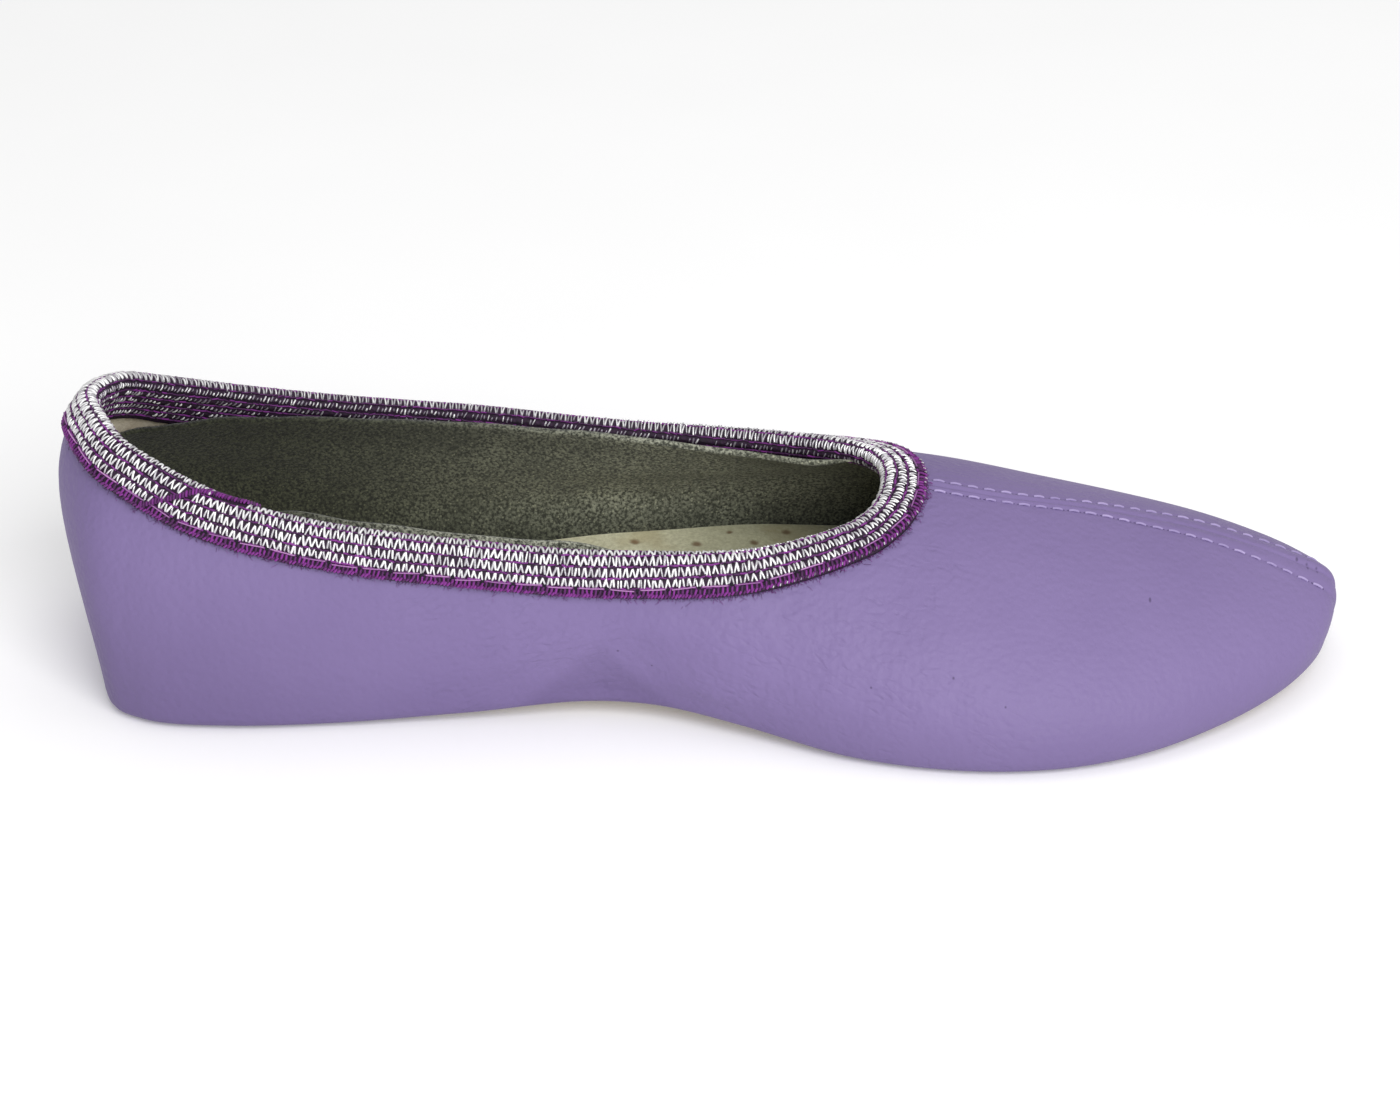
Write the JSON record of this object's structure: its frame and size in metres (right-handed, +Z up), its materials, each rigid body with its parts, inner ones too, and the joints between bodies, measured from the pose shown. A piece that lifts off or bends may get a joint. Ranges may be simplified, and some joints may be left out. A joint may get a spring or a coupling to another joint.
{
  "type": "gymnastics shoe",
  "caption": "Soft slip-on gymnastics shoe with a turned leather upper, folded elastic collar binding, thin flat sole and insole, for the left foot",
  "frame": {"origin": "centre of the bounding box, on the floor under the shoe", "axes": "+X points to the toe, +Z points up, -Y points to the inner side of the foot"},
  "size_m": [0.2284, 0.086, 0.0529],
  "materials": {
    "upper_leather": "soft lilac synthetic leather, fine pebble grain, satin",
    "binding_elastic": "purple knitted elastic with silver yarn, folded over the edge",
    "sole_suede": "plain beige suede, matt",
    "insole_board": "thin pale beige sheet, matt"
  },
  "bodies": {
    "root": {"upper": "upper_leather", "collar_binding": "binding_elastic", "outsole": "sole_suede", "insole": "insole_board"}
  },
  "joints": []
}
